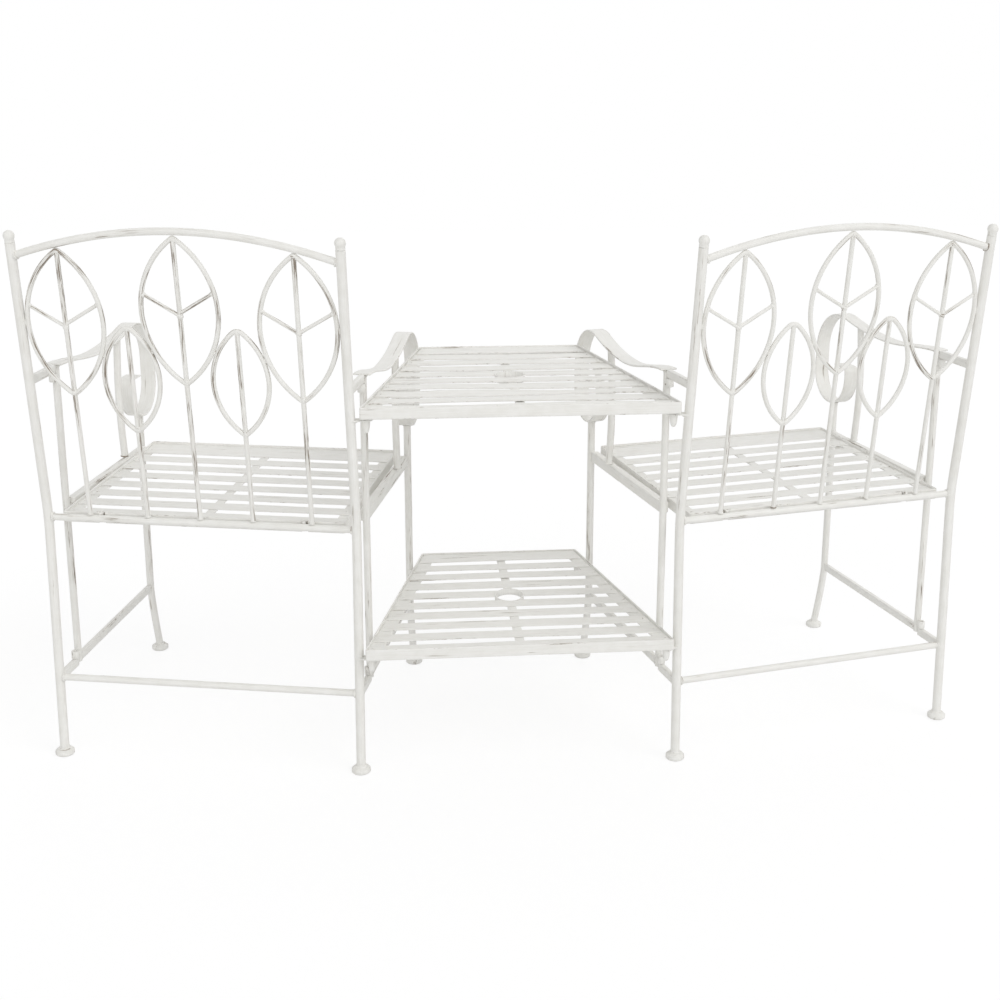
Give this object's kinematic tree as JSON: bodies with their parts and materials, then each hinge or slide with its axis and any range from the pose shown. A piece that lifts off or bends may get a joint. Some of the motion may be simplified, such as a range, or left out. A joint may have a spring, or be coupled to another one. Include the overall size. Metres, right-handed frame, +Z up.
{
  "type": "garden companion seat",
  "caption": "Painted metal garden companion seat with leaf-backed, scroll-armed chairs turned towards each other and joined by a slatted table top and lower shelf with parasol holes.",
  "frame": {"origin": "floor level, at the middle of the overall bounding box", "axes": "+Z up, -Y towards the front where a sitter's feet are, +X along the width towards the chair that is on the left in a view from behind"},
  "size_m": [1.6372, 0.6659, 0.943],
  "materials": {
    "frame_paint": "satin off-white paint, rubbed through to dark metal in places",
    "rubbed_paint": "satin off-white paint, more strongly rubbed",
    "slat_paint": "satin off-white paint with rubbed edges"
  },
  "bodies": {
    "frame": {"left_outer_back_post": "frame_paint", "left_inner_back_post": "frame_paint", "left_outer_finial": "frame_paint", "left_inner_finial": "frame_paint", "left_top_rail": "frame_paint", "left_seat_rear_rail": "frame_paint", "left_rear_stretcher": "frame_paint", "left_outer_leaf": "rubbed_paint", "left_middle_leaf": "rubbed_paint", "left_inner_leaf": "rubbed_paint", "left_outer_small_leaf": "rubbed_paint", "left_inner_small_leaf": "rubbed_paint", "left_outer_front_leg": "frame_paint", "left_inner_front_leg": "frame_paint", "left_outer_arm": "frame_paint", "left_inner_arm": "frame_paint", "left_outer_upright": "frame_paint", "left_inner_upright": "frame_paint", "left_outer_support_rod": "frame_paint", "left_inner_support_rod": "frame_paint", "left_outer_side_rail": "frame_paint", "left_inner_side_rail": "frame_paint", "left_outer_side_stretcher": "frame_paint", "left_inner_side_stretcher": "frame_paint", "right_outer_back_post": "frame_paint", "right_inner_back_post": "frame_paint", "right_outer_finial": "frame_paint", "right_inner_finial": "frame_paint", "right_top_rail": "frame_paint", "right_seat_rear_rail": "frame_paint", "right_rear_stretcher": "frame_paint", "right_outer_leaf": "rubbed_paint", "right_middle_leaf": "rubbed_paint", "right_inner_leaf": "rubbed_paint", "right_outer_small_leaf": "rubbed_paint", "right_inner_small_leaf": "rubbed_paint", "right_outer_front_leg": "frame_paint", "right_inner_front_leg": "frame_paint", "right_outer_arm": "frame_paint", "right_inner_arm": "frame_paint", "right_outer_upright": "frame_paint", "right_inner_upright": "frame_paint", "right_outer_support_rod": "frame_paint", "right_inner_support_rod": "frame_paint", "right_outer_side_rail": "frame_paint", "right_inner_side_rail": "frame_paint", "right_outer_side_stretcher": "frame_paint", "right_inner_side_stretcher": "frame_paint"},
    "left_seat": {"left_seat_panel": "slat_paint"},
    "right_seat": {"right_seat_panel": "slat_paint"},
    "table": {"table_top": "slat_paint"},
    "lower_shelf": {"shelf": "slat_paint"}
  },
  "joints": [
    {"name": "left_seat_hinge", "type": "hinge", "parent": "frame", "child": "left_seat", "pos_m": [0.53211, 0.19429, 0.4415], "axis": [-0.9759, 0.2181, 0], "range_deg": [0, 90]},
    {"name": "right_seat_hinge", "type": "hinge", "parent": "frame", "child": "right_seat", "pos_m": [-0.53211, 0.19429, 0.4415], "axis": [-0.9759, -0.2181, 0], "range_deg": [0, 90]},
    {"name": "table_lift", "type": "slide", "parent": "frame", "child": "table", "axis": [0, 0, 1], "range_m": [0, 0.15]},
    {"name": "shelf_lift", "type": "slide", "parent": "frame", "child": "lower_shelf", "axis": [0, 0, 1], "range_m": [0, 0.3]}
  ]
}
